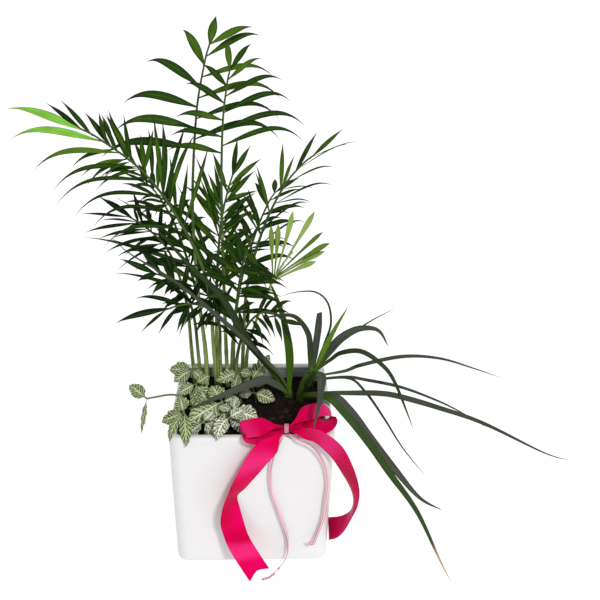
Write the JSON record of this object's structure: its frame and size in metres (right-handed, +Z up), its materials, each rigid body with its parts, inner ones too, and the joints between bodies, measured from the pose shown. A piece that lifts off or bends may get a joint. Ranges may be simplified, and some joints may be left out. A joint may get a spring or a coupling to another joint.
{
  "type": "potted palm and dracaena arrangement",
  "caption": "Square glazed pot planted with a parlour palm, a strap-leaved dracaena and white-veined fittonia, with a ribbon bow on its rim.",
  "frame": {"origin": "on the surface the pot stands on, under the middle of the pot", "axes": "+Z up, -Y the side of the pot with the bow, +X to the right seen from that side"},
  "size_m": [0.4833, 0.2487, 0.4554],
  "materials": {
    "pot_glaze": "smooth near-white gloss glaze",
    "soil": "damp dark potting soil, crumbly and matte",
    "palm_green": "thin satin palm leaf, mid to deep green, paler at the youngest leaflets",
    "dracaena_green": "dark grey-green strap leaf with a soft sheen, bright green at its foot",
    "fittonia_green": "soft green leaf with a dense white vein net",
    "bow_ribbon": "crimson satin ribbon",
    "tie_ribbon": "thin pale pink metallic ribbon"
  },
  "bodies": {
    "root": {"dracaena_left_shoot": "dracaena_green", "dracaena_right_shoot": "dracaena_green", "fittonia_back_left_sprig": "fittonia_green", "fittonia_back_sprig": "fittonia_green", "fittonia_corner_sprig": "fittonia_green", "fittonia_front_left_sprig": "fittonia_green", "fittonia_front_middle_sprig": "fittonia_green", "fittonia_front_right_sprig": "fittonia_green", "fittonia_low_sprig": "fittonia_green", "fittonia_middle_sprig": "fittonia_green", "fittonia_right_sprig": "fittonia_green", "fittonia_slim_sprig": "fittonia_green", "fittonia_trailing_sprig": "fittonia_green", "palm_frond_back_left": "palm_green", "palm_frond_back_right": "palm_green", "palm_frond_fan_right": "palm_green", "palm_frond_front_left": "palm_green", "palm_frond_high_right": "palm_green", "palm_frond_long_left": "palm_green", "palm_frond_low_left": "palm_green", "palm_frond_low_right": "palm_green", "palm_frond_mid_left": "palm_green", "palm_frond_middle": "palm_green", "palm_frond_tall_left": "palm_green", "palm_frond_tall_right": "palm_green", "palm_frond_upright": "palm_green", "pot": "pot_glaze", "ribbon_bow": "bow_ribbon", "soil": "soil", "tie_band": "tie_ribbon", "tie_end_left": "tie_ribbon", "tie_end_right": "tie_ribbon"}
  },
  "joints": []
}
